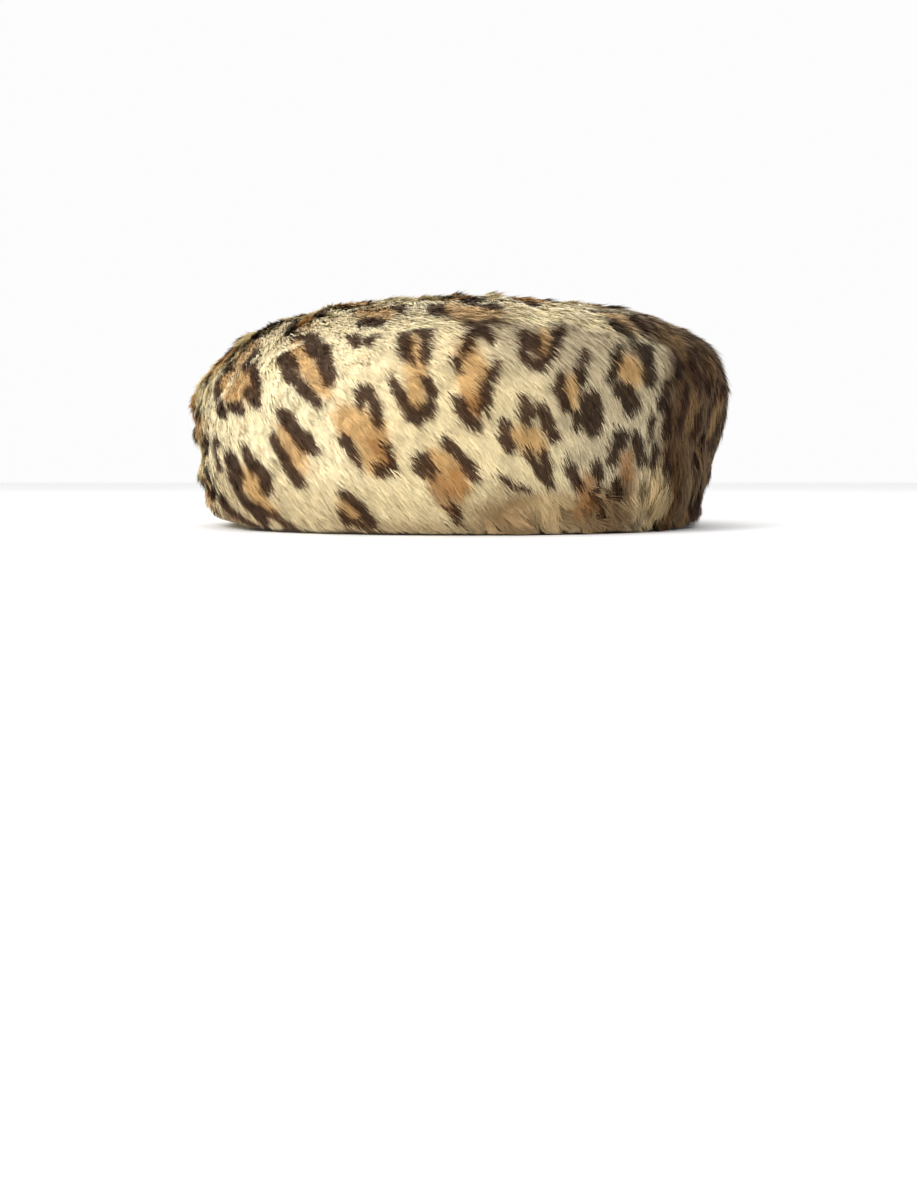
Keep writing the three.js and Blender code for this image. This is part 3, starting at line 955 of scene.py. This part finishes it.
def fur_material(name, roughness, tint):
    """Printed fur: the pile's colour with fine streaks and broad mottling over it, and a soft sheen."""
    m = new_material(name)
    place = m.node("ShaderNodeTexCoord", {}, {}, "Object")
    pile = m.node("ShaderNodeAttribute", {"attribute_name": "pile"}, {}, "Color")
    fine = m.node("ShaderNodeTexNoise", {}, {"Vector": place, **STREAKS})
    broad = m.node("ShaderNodeTexNoise", {}, {"Vector": place, **MOTTLING})
    shade = FUR_SHADE["least"] + fine * FUR_SHADE["streaks"] + broad * FUR_SHADE["mottling"]
    warm = m.node("ShaderNodeVectorMath", {"operation": "MULTIPLY"}, {0: pile, 1: tint})
    colour = m.node("ShaderNodeVectorMath", {"operation": "SCALE"}, {0: warm, "Scale": shade})
    bump = m.node("ShaderNodeBump", {}, {"Height": fine, **FUR_BUMP})
    rough = roughness + fine * STREAKS_ROUGHEN
    return m.finish({"Base Color": colour, "Roughness": rough, "Normal": bump, **FUR_GLOSS})


def hide_material():
    """The suede side of the hide, and the short wool at the roots of the fur."""
    m = new_material("hide_suede")
    place = m.node("ShaderNodeTexCoord", {}, {}, "Object")
    pile = m.node("ShaderNodeAttribute", {"attribute_name": "pile"}, {}, "Color")
    nap = m.node("ShaderNodeTexNoise", {}, {"Vector": place, **SUEDE_NAP})
    creases = m.node("ShaderNodeTexVoronoi", {"feature": "DISTANCE_TO_EDGE"}, {"Vector": place, **CREASES})
    shade = SUEDE_SHADE["least"] + nap * SUEDE_SHADE["nap"] + creases * SUEDE_SHADE["creases"]
    colour = m.node("ShaderNodeVectorMath", {"operation": "SCALE"}, {0: pile, "Scale": shade})
    bump = m.node("ShaderNodeBump", {}, {"Height": nap + creases, **SUEDE_BUMP})
    rough = SUEDE_ROUGHNESS + nap * NAP_ROUGHENS
    return m.finish({"Base Color": colour, "Roughness": rough, "Normal": bump, "Sheen Weight": SUEDE_SHEEN})


def floor_material():
    """Pale paper, very slightly clouded."""
    m = new_material("pale_floor")
    place = m.node("ShaderNodeTexCoord", {}, {}, "Object")
    cloud = m.node("ShaderNodeTexNoise", {}, {"Vector": place, **CLOUDS})
    pale = PAPER_SHADE["least"] + cloud * PAPER_SHADE["clouds"]
    colour = m.node("ShaderNodeCombineColor", {}, {"Red": pale, "Green": pale, "Blue": pale})
    return m.finish({"Base Color": colour, "Roughness": PAPER_ROUGHNESS})


def make_floor():
    """The wide floor that the hat stands on."""
    places = FLOOR_HALF * np.array([[-1, -1, 0], [1, -1, 0], [1, 1, 0], [-1, 1, 0]])
    floor = bpy.data.objects.new("floor", mesh_from("floor", places, [np.array([[0, 1, 2, 3]])]))
    bpy.context.scene.collection.objects.link(floor)
    floor.data.materials.append(floor_material())


def make_lamp(name, place, wide, power):
    """A round soft lamp that points at the hat."""
    lamp = bpy.data.lights.new(name, "AREA")
    lamp.shape = "DISK"
    lamp.size = wide
    lamp.energy = power
    obj = bpy.data.objects.new(name, lamp)
    obj.location = place
    obj.rotation_euler = (Vector(LAMPS_AIM) - Vector(place)).to_track_quat("-Z", "Y").to_euler()
    bpy.context.scene.collection.objects.link(obj)


def make_camera():
    """The camera, turned so that the hat's middle is as far above the frame's middle as it should be."""
    camera = bpy.data.cameras.new("camera")
    camera.sensor_width = SENSOR_WIDTH
    camera.lens = SENSOR_WIDTH * FOCAL_STEPS / FRAME_HEIGHT
    camera.clip_start = NEAREST_SEEN
    obj = bpy.data.objects.new("camera", camera)
    middle = Vector((0, 0, (cad_box[0][2] + cad_box[1][2]) / 2))
    obj.location = (0, -CAMERA_DISTANCE, CAMERA_HEIGHT)
    to_hat = middle - obj.location
    down = math.atan(HAT_ABOVE_FRAME_MIDDLE / FOCAL_STEPS) - math.atan2(to_hat.z, to_hat.y)
    obj.rotation_euler = (math.radians(90) - down, 0, 0)
    bpy.context.scene.collection.objects.link(obj)
    bpy.context.scene.camera = obj


def make_studio():
    """A white room, dimmer on the right, with a soft lamp on the left and one above."""
    room = Nodes(bpy.data.worlds.new("studio"), "Background")
    way = room.node("ShaderNodeTexCoord", {}, {}, "Generated")
    right = room.node("ShaderNodeSeparateXYZ", {}, {"Vector": way}, "X")
    span = {"From Min": ROOM_DIMS_FROM, "From Max": ROOM_DIMS_TO, "To Min": ROOM_BRIGHT, "To Max": ROOM_DIM}
    dim = room.node("ShaderNodeMapRange", {"interpolation_type": "SMOOTHSTEP"}, {"Value": right, **span})
    bpy.context.scene.world = room.finish({"Color": (1, 1, 1, 1), "Strength": dim})
    bpy.context.scene.view_settings.view_transform = "Standard"
    for lamp in LAMPS:
        make_lamp(**lamp)


make_camera()
make_floor()
make_studio()

rng = np.random.default_rng(SEED)
surfaces = {node: Surface(node) for node in SLOTS}
rosettes = Rosettes(surfaces, rng)
strands = Locks(STRANDS, surfaces, rng)
tufts = Locks(TUFTED_LOCKS, surfaces, rng)
suede = hide_material()
furs = {node: fur_material(SLOTS[node], **finish) for node, finish in FINISHES.items()}
for node, surface in surfaces.items():
    make_hide(node, surface, rosettes).data.materials.append(suede)
for coat in COATS:
    fur = grow_coat(coat, surfaces[coat["node"]], strands, tufts, rosettes, rng)
    fur.data.materials.append(furs[coat["node"]])
